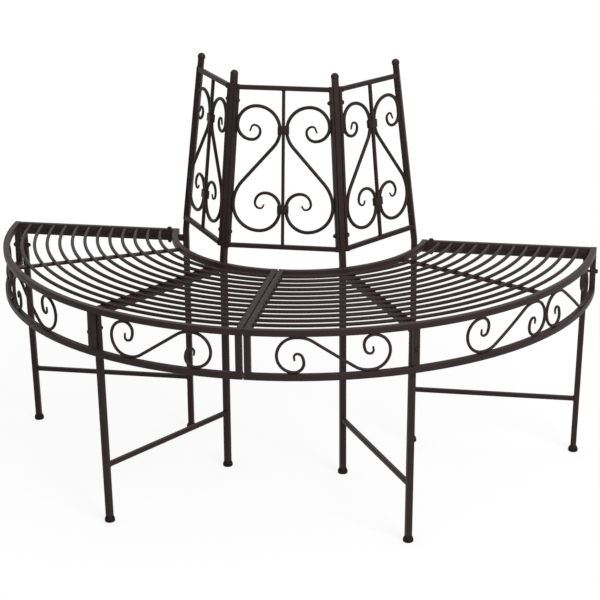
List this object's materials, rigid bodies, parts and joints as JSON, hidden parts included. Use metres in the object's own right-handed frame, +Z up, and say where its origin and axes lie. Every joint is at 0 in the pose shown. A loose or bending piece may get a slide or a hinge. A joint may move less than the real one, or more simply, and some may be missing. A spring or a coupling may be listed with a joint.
{
  "type": "half round tree bench",
  "caption": "Half-round outdoor metal bench that stands round a tree: slatted curved seat, scrollwork apron and leaning scrollwork back panels on square-tube legs",
  "frame": {"origin": "on the ground at the centre of the half circle, where the tree's axis stands", "axes": "+Z up; +X from the left end to the right end as seen from the front; -Y towards the front, where the sitter's legs are, and +Y the open side that the bench is pushed round the tree from"},
  "size_m": [1.2392, 0.605, 0.8272],
  "materials": {
    "frame_coat": "dark brown-black satin powder coat on steel tube and bar",
    "slat_coat": "dark brown-black satin powder coat on round rod",
    "scroll_coat": "dark brown-black satin powder coat on bent rod and collars",
    "fastener": "dark coated bolts and cap nuts",
    "foot_rubber": "matt black moulded rubber"
  },
  "bodies": {
    "root": {"back_foot_caps": "foot_rubber", "front_foot_caps": "foot_rubber", "left_apron_rim": "frame_coat", "left_apron_scrolls": "scroll_coat", "left_apron_uprights": "frame_coat", "left_end_bar": "frame_coat", "left_end_brace": "frame_coat", "left_end_leg": "frame_coat", "left_end_post": "frame_coat", "left_end_top_tube": "frame_coat", "left_inner_rim": "frame_coat", "left_middle_brace": "frame_coat", "left_middle_leg": "frame_coat", "left_middle_post": "frame_coat", "left_middle_top_tube": "frame_coat", "left_outer_rim": "frame_coat", "left_panel_bottom_rail": "frame_coat", "left_panel_centre_bar": "frame_coat", "left_panel_collars": "scroll_coat", "left_panel_scrolls": "scroll_coat", "left_panel_stiles": "frame_coat", "left_panel_top_rail": "frame_coat", "left_seam_bar": "frame_coat", "left_seat_slats": "slat_coat", "left_support_bars": "frame_coat", "middle_panel_bottom_rail": "frame_coat", "middle_panel_centre_bar": "frame_coat", "middle_panel_collars": "scroll_coat", "middle_panel_scrolls": "scroll_coat", "middle_panel_stiles": "frame_coat", "middle_panel_top_rail": "frame_coat", "panel_bolts": "fastener", "panel_cap_nuts": "fastener", "post_balls": "frame_coat", "right_apron_rim": "frame_coat", "right_apron_scrolls": "scroll_coat", "right_apron_uprights": "frame_coat", "right_end_bar": "frame_coat", "right_end_brace": "frame_coat", "right_end_leg": "frame_coat", "right_end_post": "frame_coat", "right_end_top_tube": "frame_coat", "right_inner_rim": "frame_coat", "right_middle_brace": "frame_coat", "right_middle_leg": "frame_coat", "right_middle_post": "frame_coat", "right_middle_top_tube": "frame_coat", "right_outer_rim": "frame_coat", "right_panel_bottom_rail": "frame_coat", "right_panel_centre_bar": "frame_coat", "right_panel_collars": "scroll_coat", "right_panel_scrolls": "scroll_coat", "right_panel_stiles": "frame_coat", "right_panel_top_rail": "frame_coat", "right_seam_bar": "frame_coat", "right_seat_slats": "slat_coat", "right_support_bars": "frame_coat", "seat_bolts": "fastener", "seat_cap_nuts": "fastener"}
  },
  "joints": []
}
